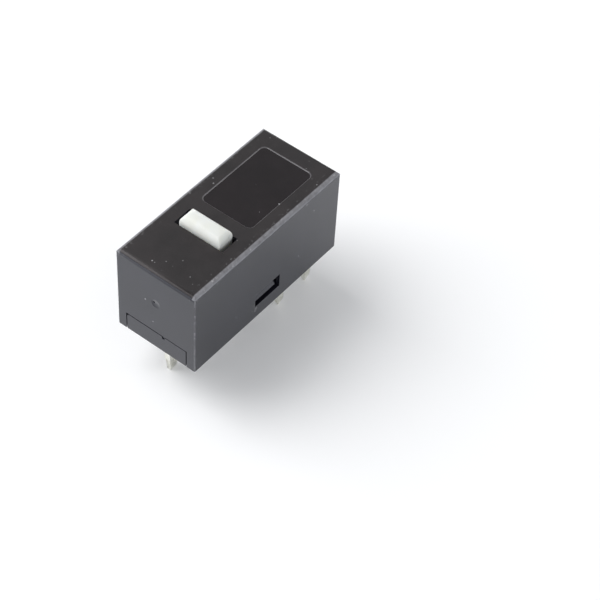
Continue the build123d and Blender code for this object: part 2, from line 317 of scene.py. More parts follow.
class Finish(Wiring):
    """One procedural material, with its shader node and its position in millimetres."""

    def __init__(self, name, colour, roughness, constants=()):
        self.material = bpy.data.materials.new(name)
        self.material.use_nodes = True
        super().__init__(self.material.node_tree)
        self.shader = self.nodes["Principled BSDF"]
        self.shader.inputs["Base Color"].default_value = opaque(colour)
        self.shader.inputs["Roughness"].default_value = roughness
        for key, value in dict(constants).items():
            self.shader.inputs[key].default_value = value
        metres = self.add("ShaderNodeTexCoord").outputs["Object"]
        self.position = self.stretched((1 / MM, 1 / MM, 1 / MM), metres)

    def stretched(self, factors, vector=None):
        """The position scaled along each axis, for example for grain that runs one way."""
        sockets = {"Vector": vector or self.position, "Scale": factors}
        return self.add("ShaderNodeMapping", sockets).outputs["Vector"]

    def axis(self, letter):
        """The position along one axis."""
        return self.add("ShaderNodeSeparateXYZ", {"Vector": self.position}).outputs[letter]

    def noise(self, scale, detail=3.0, rough=0.5, vector=None):
        """Cloudy noise between 0 and 1, with about this many waves to the millimetre."""
        sockets = {"Vector": vector or self.position, "Scale": scale, "Detail": detail, "Roughness": rough}
        return self.add("ShaderNodeTexNoise", sockets).outputs["Fac"]

    def patches(self, scale, detail, low, high, rough=0.5, least=0, most=1):
        """A mask of patches: noise whose stretch from low to high is spread from least to most."""
        return self.fit(self.noise(scale, detail, rough), low, high, least, most)

    def specks(self, scale, radius, share):
        """A mask of small round specks, one in each of this share of the pattern's cells."""
        cells = self.add("ShaderNodeTexVoronoi", {"Vector": self.position, "Scale": scale}).outputs
        draw = self.add("ShaderNodeSeparateColor", {"Color": cells["Color"]}).outputs["Red"]
        size = self.math("MULTIPLY", self.math("SUBTRACT", draw, 1 - share), radius / share)
        inside = self.math("SUBTRACT", size, cells["Distance"])
        return self.fit(inside, 0.0, radius * SPECK_EDGE, 0.0, 1.0)

    def around(self, point, inner, outer):
        """A mask that is full near a point and fades out from one distance to another."""
        node = self.add("ShaderNodeVectorMath", {0: self.position, 1: point}, operation="DISTANCE")
        return self.fit(node.outputs["Value"], inner, outer, 1.0, 0.0)

    def blend(self, mask, under, over):
        """Lays a colour over another, or over an earlier blend, by a mask."""
        sockets = {"Factor": mask, UNDER: opaque(under), OVER: opaque(over)}
        return self.add("ShaderNodeMix", sockets, data_type="RGBA").outputs[MIXED]

    def bump(self, height, depth_mm):
        """Gives the surface a fine relief of this depth."""
        sockets = {"Height": height, "Strength": 1.0, "Distance": depth_mm * MM}
        self.wire("Normal", self.add("ShaderNodeBump", sockets).outputs["Normal"])

    def wire(self, key, output):
        """Links an output to one of the shader's sockets."""
        self.links.new(output, self.shader.inputs[key])


print("finish helper ready")

# %% [markdown]
# ## Worn edges and a painted highlight on the black plastic
# Handling rubs a moulded case first along its edges. The distance to an edge is worked out from the
# position alone: a point is near a long top edge when it is close to both the side and the top. A band
# along that edge is painted pale and ragged, partly as worn plastic and partly as a painted highlight on
# the rounded edge, and the end outlines get the same pale paint thinly, here and there.

# %% Worn edges with a painted highlight
# The reach of the pale edge paint, which is worn plastic and painted highlight together.
BAND, BAND_SOFT, CORNER, CORNER_SOFT = 0.20, 0.06, 0.03, 0.07  # reach of the wear from each edge
RAGGED = 3 * BAND  # how far chips reach past the long edges


def worn_and_highlit_edges(finish):
    """The distance from the long top edges, and a mask of worn plastic and painted highlight on all edges.
    """
    along, inward, down = (
        finish.math("SUBTRACT", reach, finish.math("ABSOLUTE", finish.axis(letter)))
        for letter, reach in (("X", half_length), ("Y", half_width), ("Z", top))
    )
    long_edge = finish.math("MAXIMUM", inward, down)
    end_outline = finish.math("MAXIMUM", along, finish.math("MINIMUM", inward, down))
    patchy = finish.patches(2.2, detail=5.0, rough=0.6, low=0.3, high=0.6, least=0.55)
    rubbed_and_lit = finish.patches(1.3, detail=6.0, rough=0.7, low=0.35, high=0.70, least=0.15, most=0.8)
    band = finish.math("MULTIPLY", finish.fit(long_edge, BAND, BAND + BAND_SOFT, 1, 0), patchy)
    outline = finish.fit(end_outline, CORNER, CORNER + CORNER_SOFT, 1, 0)
    corner = finish.math("MULTIPLY", outline, rubbed_and_lit)
    return long_edge, finish.math("MAXIMUM", band, corner)


print("wear reaches", BAND + BAND_SOFT, "mm from the long edges")

# %% [markdown]
# ## Black plastic, polished and satin
# The mould was polished for the sides and finely eroded for the top, so the same plastic looks glossy
# beside and satin above. The sunk panel is polished again, and its sloping rim is painted paler as a
# highlight. All four carry specks of dust and get pale edges, partly worn and partly a painted highlight,
# so one function makes them and only its numbers differ.

# %% Black plastic
COOL, COOL_LIGHT = (0.0075, 0.0075, 0.0115), (0.012, 0.012, 0.018)
WARM, WARM_LIGHT = (0.0025, 0.0018, 0.0020), (0.0110, 0.0085, 0.0088)
DEEP, DEEP_LIGHT = (0.0050, 0.0038, 0.0042), (0.0085, 0.0062, 0.0070)
# The rim colours are a painted highlight for the panel's sloping sides.
RIM_HIGHLIGHT, RIM_HIGHLIGHT_LIGHT = (0.050, 0.046, 0.049), (0.105, 0.100, 0.105)
# The second colour here is the pale edge paint: partly worn plastic, partly a painted highlight.
DUST, SCUFF_AND_HIGHLIGHT, CHIP = (0.34, 0.34, 0.35), (0.21, 0.21, 0.225), (0.36, 0.36, 0.37)
NICK = (-1.25, -half_width, 0.85)  # where the cover was nicked as it was pressed on
NICK_CORE, NICK_REACH = 0.12, 0.42
PLASTIC_IOR, FINE_DUST, WORN_ROUGHNESS = 1.6, 0.6, 0.25


def black_plastic(name, colours, roughness, grain_mm, dust, level, tint):
    """Moulded black plastic with its two shades, gloss range, grain depth and amount of dust."""
    gloss = {"IOR": PLASTIC_IOR, "Specular IOR Level": level, "Specular Tint": opaque(tint)}
    finish = Finish(name, colours[0], roughness[0], gloss)
    colour = finish.blend(finish.patches(0.55, detail=4.0, low=0.35, high=0.65), *colours)
    mottle = finish.patches(5.5, detail=4.0, rough=0.7, low=0.5, high=0.75, most=0.5)
    colour = finish.blend(mottle, colour, colours[1])
    colour = finish.blend(finish.specks(1.4, radius=0.10, share=dust), colour, DUST)
    fine = finish.math("MULTIPLY", finish.specks(3.2, radius=0.19, share=dust), FINE_DUST)
    colour = finish.blend(fine, colour, DUST)
    long_edge, edge_wear_and_highlight = worn_and_highlit_edges(finish)
    # Pale edges: partly worn plastic, partly a painted highlight along the rounded edges.
    colour = finish.blend(edge_wear_and_highlight, colour, SCUFF_AND_HIGHLIGHT)
    chips = finish.patches(5.0, detail=5.0, rough=0.7, low=0.60, high=0.68)
    ragged = finish.fit(long_edge, BAND, RAGGED, 1, 0)
    colour = finish.blend(finish.math("MULTIPLY", ragged, chips), colour, CHIP)
    scratches = finish.patches(4.0, detail=6.0, rough=0.75, low=0.52, high=0.60, most=0.8)
    nick = finish.math("MULTIPLY", finish.around(NICK, NICK_CORE, NICK_REACH), scratches)
    finish.wire("Base Color", finish.blend(nick, colour, CHIP))
    glossy, dull = roughness
    smudge = finish.patches(0.9, detail=5.0, rough=0.6, low=0.3, high=0.7, least=glossy, most=dull)
    worn = finish.math("MULTIPLY", edge_wear_and_highlight, WORN_ROUGHNESS)
    finish.wire("Roughness", finish.math("ADD", smudge, worn))
    finish.bump(finish.noise(14.0, rough=0.6), grain_mm)
    return finish.material


print("black plastic ready")

# %% Four black finishes
satin_black = black_plastic(
    "satin_black", (WARM, WARM_LIGHT),
    roughness=(0.40, 0.50), grain_mm=0.008, dust=0.30, level=0.44, tint=(1, 0.95, 0.96),
)
polished_black = black_plastic(
    "polished_black", (COOL, COOL_LIGHT),
    roughness=(0.12, 0.20), grain_mm=0.001, dust=0.08, level=0.52, tint=(0.9, 0.92, 1),
)
panel_black = black_plastic(
    "panel_black", (DEEP, DEEP_LIGHT),
    roughness=(0.16, 0.24), grain_mm=0.001, dust=0.05, level=0.46, tint=(1, 0.93, 0.95),
)
# The rim's pale colour is a painted highlight on the sloping sides.
rim_highlight_black = black_plastic(
    "rim_highlight_black", (RIM_HIGHLIGHT, RIM_HIGHLIGHT_LIGHT),
    roughness=(0.30, 0.40), grain_mm=0.004, dust=0.05, level=0.5, tint=(1, 0.97, 1),
)
print("four black finishes")

# %% [markdown]
# ## White button
# The button is white acetal, a soft waxy plastic that light enters a little. Subsurface scattering with a
# short radius gives its soft edges, and a faint cloud keeps it from being one flat colour.

# %% White acetal
WHITE, WHITE_WARM = (0.72, 0.73, 0.705), (0.69, 0.695, 0.65)
WAXY = {
    "Subsurface Weight": 0.85,
    "Subsurface Radius": (1.0, 0.97, 0.90),
    "Subsurface Scale": 0.5 * MM,
    "Specular IOR Level": 0.35,
}


def white_acetal():
    """Waxy white plastic with a faint warm cloud."""
    finish = Finish("white_acetal", WHITE, roughness=0.45, constants=WAXY)
    cloud = finish.patches(1.1, detail=4.0, low=0.4, high=0.68)
    finish.wire("Base Color", finish.blend(cloud, WHITE, WHITE_WARM))
    finish.bump(finish.noise(9.0), depth_mm=0.003)
    return finish.material


button_white = white_acetal()
print(button_white.name)

# %% [markdown]
# ## Metals
# The legs are stamped brass with a thin tin plating: pale and slightly yellow, with stamping lines along
# the leg and dull patches. The lines come from noise that is stretched along Z. The spring leaf is rolled
# copper alloy with its lines along X, and the hair-thin wires inside are gold.

# %% Plated legs, spring leaf and wires
PLATING, TARNISH = (0.86, 0.86, 0.80), (0.64, 0.63, 0.53)
COPPER, COPPER_DARK = (0.78, 0.48, 0.27), (0.52, 0.28, 0.14)
GOLD, GOLD_DARK = (0.93, 0.70, 0.32), (0.75, 0.5, 0.2)


def rolled_metal(name, light, dark, roughness, stretch):
    """Rolled, drawn or stamped metal with dull patches, and lines along one axis."""
    finish = Finish(name, light, roughness, {"Metallic": 1.0})
    dull = finish.patches(1.6, detail=5.0, rough=0.6, low=0.42, high=0.66, most=0.55)
    lines = finish.noise(7.0, detail=4.0, rough=0.6, vector=finish.stretched(stretch))
    colour = finish.blend(dull, light, dark)
    finish.wire("Base Color", finish.blend(finish.fit(lines, 0.5, 0.8, 0, 0.6), colour, dark))
    finish.wire("Roughness", finish.fit(lines, 0.3, 0.7, roughness - 0.08, roughness + 0.1))
    finish.bump(lines, depth_mm=0.004)
    return finish.material


tin_plating = rolled_metal("tin_plating", PLATING, TARNISH, 0.30, stretch=(2.2, 2.2, 0.18))
spring_copper = rolled_metal("spring_copper", COPPER, COPPER_DARK, 0.24, stretch=(0.25, 3.0, 3.0))
bond_gold = rolled_metal("bond_gold", GOLD, GOLD_DARK, 0.2, stretch=(1, 1, 1))
print("three metals")

# %% [markdown]
# ## What is inside
# The two optical devices face each other inside the case. One body is clear epoxy, the other lets only
# infrared through and looks black. The shutter between them is matt, and the two chips are polished. These
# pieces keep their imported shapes, since nothing of them shows outside, and only get their finishes.

# %% Epoxies, shutter and chips
CLEAR_EPOXY, CLEAR_EPOXY_BLUE = (0.86, 0.91, 0.97), (0.78, 0.85, 0.95)
DARK_EPOXY, DARK_EPOXY_LIGHT = (0.020, 0.014, 0.022), (0.030, 0.020, 0.030)
SHUTTER, SHUTTER_LIGHT = (0.018, 0.018, 0.018), (0.028, 0.028, 0.027)
CHIP_GREY, CHIP_VIOLET = (0.10, 0.10, 0.14), (0.16, 0.15, 0.20)
GLASSY = {"Transmission Weight": 0.85, "IOR": 1.53}
CLOUDED, GRAIN_FINENESS = 0.08, 8  # added roughness in the clouds, and how much finer the grain is


def mottled(name, light, dark, roughness, scale, constants=()):
    """A moulded or polished surface with soft mottling and a faint grain."""
    finish = Finish(name, light, roughness, constants)
    cloud = finish.patches(scale, detail=4.0, low=0.35, high=0.65)
    finish.wire("Base Color", finish.blend(cloud, light, dark))
    finish.wire("Roughness", finish.fit(cloud, 0, 1, roughness, roughness + CLOUDED))
    finish.bump(finish.noise(scale * GRAIN_FINENESS), depth_mm=0.002)
    return finish.material


clear_epoxy = mottled("clear_epoxy", CLEAR_EPOXY, CLEAR_EPOXY_BLUE, 0.06, 0.8, GLASSY)
dark_epoxy = mottled("dark_epoxy", DARK_EPOXY, DARK_EPOXY_LIGHT, 0.12, 0.8)
shutter_black = mottled("shutter_black", SHUTTER, SHUTTER_LIGHT, 0.62, 1.6)
chip_grey = mottled("chip_grey", CHIP_GREY, CHIP_VIOLET, 0.12, 6.0)
INNER_FINISHES = {
    "snap_blade": spring_copper,
    "shutter": shutter_black,
    "emitter_body": clear_epoxy,
    "receiver_body": dark_epoxy,
    "emitter_die": chip_grey,
    "receiver_die": chip_grey,
    "emitter_bond_wire": bond_gold,
    "receiver_bond_wire": bond_gold,
}

for node, finish in INNER_FINISHES.items():
    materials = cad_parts[node].data.materials
    materials.clear()
    materials.append(finish)
print(len(INNER_FINISHES), "inner nodes painted")

# %% [markdown]
# ## The cover
# The real cover is one moulded shell, open below. It starts as a solid block: its two long top edges get
# the large radius and the end outlines a small one. The hollow comes next, so that the outside is finished
# while it is still simple.

# %% Outside of the cover
X, Y, Z = 0, 1, 2
WALL, ROOF = 0.6, 0.7
LONG_EDGE_R, END_EDGE_R, COVER_EDGE_R = 0.3, 0.07, 0.02


def lies_at(item, axis, target):
    """True if all corners of an edge or face lie at this distance either side of the middle."""
    return all(near(abs(co[axis]), target) for co in corners(item))


def outlines_end(edge):
    """True for an edge in the outline of either end face."""
    return near(corners(edge)[0].x, corners(edge)[1].x) and lies_at(edge, X, half_length)


cover = add_block("cover_shell", cover_low, cover_high)
with editing(cover):
    pick(cover, "edges", lambda edge: lies_at(edge, Z, top) and lies_at(edge, Y, half_width))
    bpy.ops.mesh.bevel(offset=LONG_EDGE_R, segments=8, affect="EDGES")
    pick(cover, "edges", lambda edge: outlines_end(edge) and not lies_at(edge, Z, 0))
    bpy.ops.mesh.bevel(offset=END_EDGE_R, segments=3, affect="EDGES")
print("cover block with", len(cover.data.polygons), "faces")

# %% [markdown]
# ## The hollow and the openings
# A mould makes the hollow with one steel core, and so does this step. The core is a long channel that runs
# out through both ends, where the base will show. It is bisected where the end walls begin, and the middle
# of its top is extruded up to the roof. One cutter leaves no doubled faces, which a boolean handles badly.

# %% Core
LEDGE = 1.3  # the height where the end walls stop

inner_half, inner_length = half_width - WALL, half_length - WALL
far = half_length + CLEAR
core = add_block("core", (-far, -inner_half, -CLEAR), (far, inner_half, LEDGE))
with editing(core):
    for x in (-inner_length, inner_length):
        bpy.ops.mesh.select_all(action="SELECT")
        bpy.ops.mesh.bisect(plane_co=(x, 0, 0), plane_no=(1, 0, 0))
    pick(core, "faces", lambda face: faces_up(face) and near(face.calc_center_median().x, 0))
    bpy.ops.mesh.extrude_region_move(TRANSFORM_OT_translate={"value": (0, 0, top - ROOF - LEDGE)})
carve(cover, core)
print("hollow cut, open edges", open_edges(cover))

# %% [markdown]
# ## Windows and slot
# The base's two lugs snap into a window in each long side, and the button comes up through a slot that is
# longer than the button. Each is one block cut right through.

# %% Windows and slot
WINDOW_HALF, WINDOW_LOW, WINDOW_HIGH = 1.1, 0.95, 1.9
SLOT_HALF_LENGTH, SLOT_HALF_WIDTH = 0.66, 1.75

cut_block(cover, (-WINDOW_HALF, -far, WINDOW_LOW), (WINDOW_HALF, far, WINDOW_HIGH))
cut_block(
    cover,
    (button_x - SLOT_HALF_LENGTH, -SLOT_HALF_WIDTH, top - 2 * ROOF),
    (button_x + SLOT_HALF_LENGTH, SLOT_HALF_WIDTH, top + CLEAR),
)
print("windows and slot cut, open edges", open_edges(cover))

# %% [markdown]
# ## The plain panel and the gate mark
# The top has a shallow polished panel with sloping sides, whose thin line of light is painted on them as
# a paler finish. Its cutter is a block with rounded corners whose lower face is scaled in. On the end,
# plastic entered the mould through a small gate, which left a dished disc with a pit.

# %% Panel
PANEL_X, PANEL_HALF_X, PANEL_HALF_Y = 2.35, 2.85, 1.85
PANEL_R, PANEL_DEPTH, PANEL_SLOPE, PANEL_CUTTER = 0.35, 0.05, 0.05, 0.5


def upright(edge):
    """True for an edge that runs up the side of the shallow block."""
    return abs(corners(edge)[0].z - corners(edge)[1].z) > PANEL_DEPTH / 2


panel = add_block(
    "panel_cutter",
    (PANEL_X - PANEL_HALF_X, -PANEL_HALF_Y, top - PANEL_DEPTH),
    (PANEL_X + PANEL_HALF_X, PANEL_HALF_Y, top),
)
with editing(panel):
    pick(panel, "edges", upright)
    bpy.ops.mesh.bevel(offset=PANEL_R, segments=8, affect="EDGES")
    pick(panel, "faces", faces_up)
    bpy.ops.mesh.extrude_region_move(TRANSFORM_OT_translate={"value": (0, 0, PANEL_CUTTER)})
    pick(panel, "faces", faces_down)
    bpy.ops.transform.resize(
        value=(1 - PANEL_SLOPE / PANEL_HALF_X, 1 - PANEL_SLOPE / PANEL_HALF_Y, 1),
        center_override=(PANEL_X, 0, top),
    )
carve(cover, panel)
print("panel", 2 * PANEL_HALF_X, "by", 2 * PANEL_HALF_Y)

# %% Gate mark
GATE_Z, GATE_R, GATE_DEPTH, PIT_R, PIT_DEPTH = 3.7, 0.3, 0.015, 0.06, 0.08
PIT_SHIFT = 0.12  # the pit lies off the disc's centre


def bore_end(name, y, z, depth, radius, sides):
    """Cuts a round hole of this depth into the cover's end."""
    carve(cover, add_rod(name, (-far, y, z), (-half_length + depth, y, z), radius, sides))


bore_end("gate", 0, GATE_Z, GATE_DEPTH, GATE_R, sides=40)
bore_end("pit", PIT_SHIFT, GATE_Z + PIT_SHIFT / 2, PIT_DEPTH, PIT_R, sides=20)
print("gate mark")

# %% [markdown]
# ## Ribs inside the cover
# Under the roof, one rib is the blade's upper stop and four short ribs hold the optical devices down. They
# can't be seen from outside, but the shell is a real part and has them. They go on before the last edges
# are rounded, so that their corners are rounded too.

# %% Ribs and last edges
RIB_LEFT, RIB_RIGHT, RIB_HALF, RIB_LOW = 1.5, 1.9, 1.2, 4.43
LEAD_XS, HOLD_HALF, HOLD_IN, HOLD_OUT, HOLD_LOW = (2.73, 5.27), 0.25, 1.2, 1.9, 4.82

join_block(cover, (RIB_LEFT, -RIB_HALF, RIB_LOW), (RIB_RIGHT, RIB_HALF, top - ROOF + SINK))
for x in LEAD_XS:
    for low_y, high_y in ((HOLD_IN, HOLD_OUT), (-HOLD_OUT, -HOLD_IN)):
        join_block(cover, (x - HOLD_HALF, low_y, HOLD_LOW), (x + HOLD_HALF, high_y, top - ROOF + SINK))
round_edges(cover, COVER_EDGE_R)
settle(cover, "housing", "cover", polished_black)

# %% [markdown]
# ## Four finishes on one cover
# The whole cover was given the polished black of its sides. The top and its rolled edges now get the satin
# black, the panel's floor its own polish, and the panel's sloping sides the paler rim, a painted highlight.
# Faces are told apart by their height and by how far their normals lean.

# %% Top, panel and rim
TOP_LEAN, RIM_LEAN = 0.55, (0.5, 0.9)  # how far up the normals point: least on the top, range on the rim


def on_panel(place):
    """True for a face inside the panel's outline, at its floor or on its sloping sides."""
    inside = abs(place.x - PANEL_X) < PANEL_HALF_X and abs(place.y) < PANEL_HALF_Y
    return inside and top - PANEL_DEPTH - SLACK < place.z < top - SLACK


def on_top(place, normal):
    """True for a face of the top or the upper part of its rolled edges."""
    return normal.z > TOP_LEAN and place.z > top - LONG_EDGE_R


def on_panel_floor(place, normal):
    """True for a level face of the panel."""
    return normal.z > STRAIGHT and on_panel(place)


def on_rim(place, normal):
    """True for a sloping face of the panel."""
    return RIM_LEAN[0] < normal.z < RIM_LEAN[1] and on_panel(place)


paint_faces(cover, satin_black, on_top)
paint_faces(cover, panel_black, on_panel_floor)
# The panel's sloping sides are painted pale as a highlight.
paint_faces(cover, rim_highlight_black, on_rim)

# %% [markdown]
# ## The base
# The base is a thick plate with rails for the lugs, seats beside the optical devices and a low wall under
# the shutter. It is built up from blocks that sink a little into the plate, so that no two faces lie
# together, and every opening is cut afterwards, through all of them at once.

# %% Base plate and what stands on it
SEAM = 0.06  # gap between the base and the cover
RAIL_HALF, RAIL_IN, RAIL_TOP = 1.6, 1.75, 2.0
SEAT_LEFT, SEAT_RIGHT, SEAT_IN, SEAT_TOP = 1.8, 2.2, 1.0, 2.6
WALL_LEFT, WALL_HALF, WALL_TOP = 2.25, 0.8, 1.85

base_half = inner_half - SEAM
floor_top = LEDGE - SEAM


def strip(side, inner, outer):
    """The low and the high edge of a strip on one side of the middle."""
    return sorted((side * inner, side * outer))


base = add_block("base_plate", (-half_length, -base_half, 0), (half_length, base_half, floor_top))
join_block(base, (WALL_LEFT, -WALL_HALF, SINK), (half_length - WALL - SEAM, WALL_HALF, WALL_TOP))
for side in (1, -1):
    rail, seat = strip(side, RAIL_IN, base_half), strip(side, SEAT_IN, base_half)
    join_block(base, (-RAIL_HALF, rail[0], SINK), (RAIL_HALF, rail[1], RAIL_TOP))
    join_block(base, (SEAT_LEFT, seat[0], SINK), (SEAT_RIGHT, seat[1], SEAT_TOP))
print("base plate with rails, seats and wall")

# %% [markdown]
# ## Snap lugs
# Each lug is a wedge: its top slopes so that the cover slides over it, and its flat underside then holds
# the cover's window. It is a block whose upper outer edge is moved inwards in edit mode.

# %% Lugs
LUG_HALF = 1.0

lug_reach, lug_top = base_high.y, WINDOW_HIGH - SEAM
for side in (1, -1):
    across = strip(side, base_half - SINK, lug_reach)
    lug = add_block("lug", (-LUG_HALF, across[0], WINDOW_LOW + SEAM), (LUG_HALF, across[1], lug_top))
    with editing(lug):
        pick(lug, "edges", lambda edge: lies_at(edge, Y, lug_reach) and lies_at(edge, Z, lug_top))
        bpy.ops.transform.translate(value=(0, side * (base_half + SEAM - lug_reach), 0))
    carve(base, lug, "UNION")
print("lugs reach", round(lug_reach, 2))

# %% [markdown]
# ## The underside
# Two shallow round grooves cross the underside, the flat legs stand in pockets, and the four thin leads lie
# in slots that open at the sides. A groove is cut by a rod much wider than itself, which stands so low that
# only the top of it bites. Two small nicks are cut in the plate's end, where it was trimmed.

# %% Grooves, pockets and lead slots
GROOVE_XS, GROOVE_WIDTH, GROOVE_DEPTH = (-3.4, 4.0), 1.12, 0.18
LEG_XS, LEG_HALF, SHEET_HALF = (-5.08, 0.0), 0.4, 0.2
POCKET_GAP, POCKET_END, POCKET_DEPTH = 0.12, 0.28, 0.4
LEAD_SLOT, LEAD_SLOT_IN = 0.58, 1.36
SLOT_ROOM = 0.01  # how far a lead slot's cutter rises past the plate
BASE_EDGE_R, NICK_DEPTH, CORNER_NICK = 0.025, 0.08, 0.10
END_NICKS = (  # from and to across the end, and the lowest height
    (-0.62, -0.44, 1.06),
    (base_half - CORNER_NICK, inner_half, 1.14),
)

groove_r = (GROOVE_WIDTH**2 / 4 + GROOVE_DEPTH**2) / (2 * GROOVE_DEPTH)
for x in GROOVE_XS:
    z = GROOVE_DEPTH - groove_r
    carve(base, add_rod("groove", (x, -far, z), (x, far, z), groove_r, sides=96))
for x, end_gap in zip(LEG_XS, (POCKET_END, POCKET_GAP)):
    wide = SHEET_HALF + POCKET_GAP
    left, right = x - LEG_HALF, x + LEG_HALF
    cut_block(base, (left - end_gap, -wide, -CLEAR), (right + POCKET_GAP, wide, POCKET_DEPTH))
    cut_block(base, (left, -SHEET_HALF, 0), (right, SHEET_HALF, LEDGE + CLEAR))
for x in LEAD_XS:
    left, right = x - LEAD_SLOT / 2, x + LEAD_SLOT / 2
    for side in (1, -1):
        across = strip(side, LEAD_SLOT_IN, base_half + CLEAR)
        cut_block(base, (left, across[0], -CLEAR), (right, across[1], floor_top + SLOT_ROOM))
for low_y, high_y, low_z in END_NICKS:
    cut_block(base, (-far, low_y, low_z), (-half_length + NICK_DEPTH, high_y, LEDGE + CLEAR))
round_edges(base, BASE_EDGE_R)
settle(base, "housing", "base", polished_black)

# %% [markdown]
# ## The button
# The button's top is flat, with both ends rolled over in a large radius and the long edges nearly sharp.
# A flange under the roof keeps it in, and a rounded foot below presses the blade.

# %% Button
BUTTON_HALF_X, BUTTON_END_R, BUTTON_EDGE_R = 0.6, 0.5, 0.05
FLANGE_LOW, FLANGE_TOP, FOOT_R, FOOT_HALF = 5.05, 5.47, 0.3, 1.3

foot_z = button_low.z + FOOT_R
button = add_block(
    "button",
    (button_x - BUTTON_HALF_X, button_low.y, FLANGE_LOW),
    (button_x + BUTTON_HALF_X, button_high.y, button_high.z),
)
with editing(button):
    pick(button, "edges", lambda edge: lies_at(edge, Y, button_high.y) and lies_at(edge, Z, button_high.z))
    bpy.ops.mesh.bevel(offset=BUTTON_END_R, segments=10, affect="EDGES")
round_edges(button, BUTTON_EDGE_R, segments=3)
join_block(button, (button_low.x, button_low.y, FLANGE_LOW), (button_high.x, button_high.y, FLANGE_TOP))
stem_high = (button_x + FOOT_R, FOOT_HALF, FLANGE_LOW + SINK)
join_block(button, (button_x - FOOT_R, -FOOT_HALF, foot_z), stem_high)
foot = add_rod("foot", (button_x, -FOOT_HALF, foot_z), (button_x, FOOT_HALF, foot_z), FOOT_R, sides=40)
carve(button, foot, "UNION")
settle(button, "plunger", "plunger", button_white)

# %% [markdown]
# ## The two flat legs
# Each is stamped from one sheet. The shank is a block whose lower face is extruded and narrowed three
# times, for the coined end. Inside the case the sheet goes on as a bar with posts, joined on as blocks.

# %% Flat legs
SHANK_Z, SHOULDER_Z, BLUNT_Z = -1.95, -2.15, leg_tip + 0.12
LEG_EDGE_R = 0.035
LEG_STEPS = (  # from a height to the next, and how much narrower and thinner the leg is there
    (SHANK_Z, SHOULDER_Z, 0.85, 0.85),
    (SHOULDER_Z, BLUNT_Z, 0.85, 0.70),
    (BLUNT_Z, leg_tip, 0.80, 0.60),
)


def flat_leg(name, x):
    """The part of a flat leg that stands below the case, with its tapered, blunt tip."""
    leg = add_block(name, (x - LEG_HALF, -SHEET_HALF, SHANK_Z), (x + LEG_HALF, SHEET_HALF, LEDGE + SINK))
    centre = (x, 0, 0)
    with editing(leg):
        pick(leg, "faces", faces_down)
        for start, end, wide, thick in LEG_STEPS:
            bpy.ops.mesh.extrude_region_move(TRANSFORM_OT_translate={"value": (0, 0, end - start)})
            bpy.ops.transform.resize(value=(wide, thick, 1), center_override=centre)
    return leg


print("a leg narrows in", len(LEG_STEPS), "steps")

# %% Bars and posts inside the case
POST_HALF, NECK_HALF, SHOULDER, POST_TOP, BAR_TOP = 0.4, 0.2, 4.18, 4.8, 2.0
PIVOT_X, FULCRUM_LEFT, FULCRUM_RIGHT, FULCRUM_TOP = -5.1, -4.15, -3.4, 4.0
NOTCH_DEPTH, NOTCH_LOW, NOTCH_HIGH = 0.35, 3.2, 3.82
STOP_LEFT, STOP_BAR_TOP = 1.5, 2.3

stop_high = box_mm("stop_terminal")[1]


def sheet_block(piece, left, right, low, high):
    """Joins a block as thick as the sheet to a leg."""
    join_block(piece, (left, -SHEET_HALF, low), (right, SHEET_HALF, high))


anchor = flat_leg("anchor_leg", LEG_XS[0])
sheet_block(anchor, PIVOT_X - POST_HALF, FULCRUM_RIGHT, LEDGE, BAR_TOP)
sheet_block(anchor, PIVOT_X - POST_HALF, PIVOT_X + POST_HALF, BAR_TOP - SINK, SHOULDER)
sheet_block(anchor, PIVOT_X - NECK_HALF, PIVOT_X + NECK_HALF, SHOULDER - SINK, POST_TOP)
sheet_block(anchor, FULCRUM_LEFT, FULCRUM_RIGHT, BAR_TOP - SINK, FULCRUM_TOP)
notch_high = (FULCRUM_RIGHT + CLEAR, CLEAR, NOTCH_HIGH)
cut_block(anchor, (FULCRUM_RIGHT - NOTCH_DEPTH, -CLEAR, NOTCH_LOW), notch_high)

stop = flat_leg("stop_leg", LEG_XS[1])
sheet_block(stop, -LEG_HALF, stop_high.x, LEDGE, STOP_BAR_TOP)
sheet_block(stop, STOP_LEFT, stop_high.x, STOP_BAR_TOP - SINK, stop_high.z)
for leg, node in ((anchor, "anchor_terminal"), (stop, "stop_terminal")):
    round_edges(leg, LEG_EDGE_R, angle=STAMPED_ANGLE)
    settle(leg, "housing", node, tin_plating)

# %% [markdown]
# ## The four thin leads
# A device's two leads are cut from one strip: one ends in the pad that carries the chip, the other in a
# short finger for the bond wire. All end in a four-sided point. One function shapes a lead, and it is
# called for both devices, which mirror each other across the beam.

# %% Thin leads
LEAD_HALF, LEAD_Y, POINT_Z, LEAD_EDGE_R = 0.25, 1.6, -2.5, 0.03
POINT_SHARE = 0.3  # how wide the blunt end of the point is, as a share of the lead
FINGER_LOWS = {"pad": 2.5, "wire": 2.7}


def thin_lead(name, x, side, finger_left, finger_right, finger_low, finger_high):
    """A thin lead on one side of the beam, with the finger that it has inside its device."""
    middle = side * LEAD_Y
    low_y, high_y = middle - SHEET_HALF, middle + SHEET_HALF
    lead = add_block(name, (x - LEAD_HALF, low_y, POINT_Z), (x + LEAD_HALF, high_y, finger_high))
    with editing(lead):
        pick(lead, "faces", faces_down)
        bpy.ops.mesh.extrude_region_move(TRANSFORM_OT_translate={"value": (0, 0, leg_tip - POINT_Z)})
        bpy.ops.transform.resize(value=(POINT_SHARE, POINT_SHARE, 1), center_override=(x, middle, 0))
    join_block(lead, (finger_left, low_y, finger_low), (finger_right, high_y, finger_high))
    round_edges(lead, LEAD_EDGE_R, angle=STAMPED_ANGLE)
    return lead


for device, side in (("emitter", 1), ("receiver", -1)):
    for (kind, finger_low), x in zip(FINGER_LOWS.items(), LEAD_XS):
        node = f"{device}_{kind}_lead"
        low, high = box_mm(node)
        lead = thin_lead(f"{device}_{kind}", x, side, low.x, high.x, finger_low, high.z)
        settle(lead, "housing", node, tin_plating)

